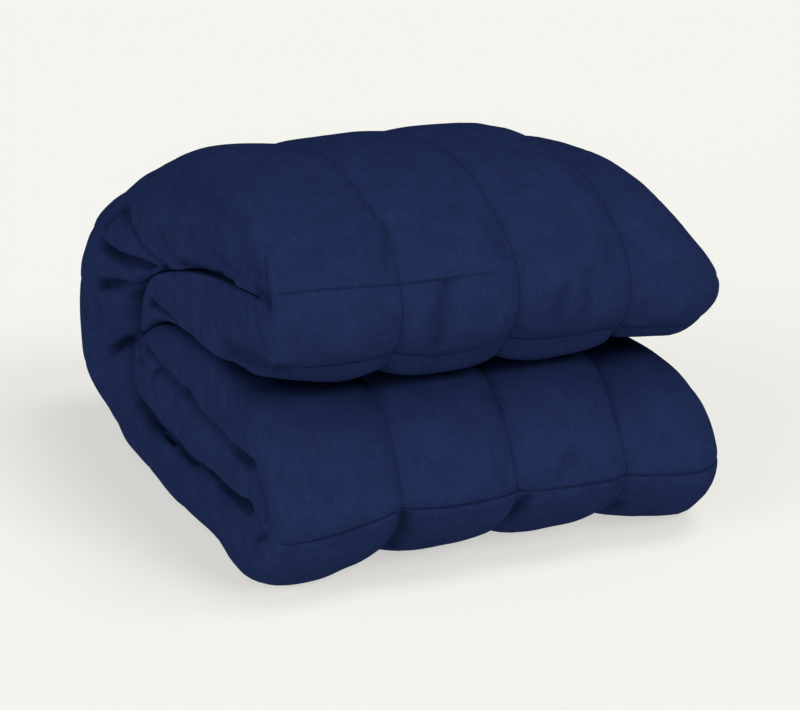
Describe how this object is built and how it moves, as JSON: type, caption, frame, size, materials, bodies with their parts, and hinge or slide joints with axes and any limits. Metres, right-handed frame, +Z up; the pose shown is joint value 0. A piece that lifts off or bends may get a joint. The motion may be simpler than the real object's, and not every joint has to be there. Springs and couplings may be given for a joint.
{
  "type": "weighted blanket",
  "caption": "Thick square-quilted weighted blanket, its ends turned in and folded over into a puffy stack that lies flat, for warmth and gentle pressure in bed.",
  "frame": {"origin": "centre of the bounding box's bottom face, on the surface the folded blanket lies on", "axes": "+X to the right along the two front rolls, front rolls towards -Y, folded spine towards +Y, +Z up"},
  "size_m": [0.4006, 0.526, 0.3092],
  "materials": {
    "blanket": "matt navy woven cloth with a fine slub"
  },
  "bodies": {
    "root": {"blanket": "blanket"}
  },
  "joints": []
}
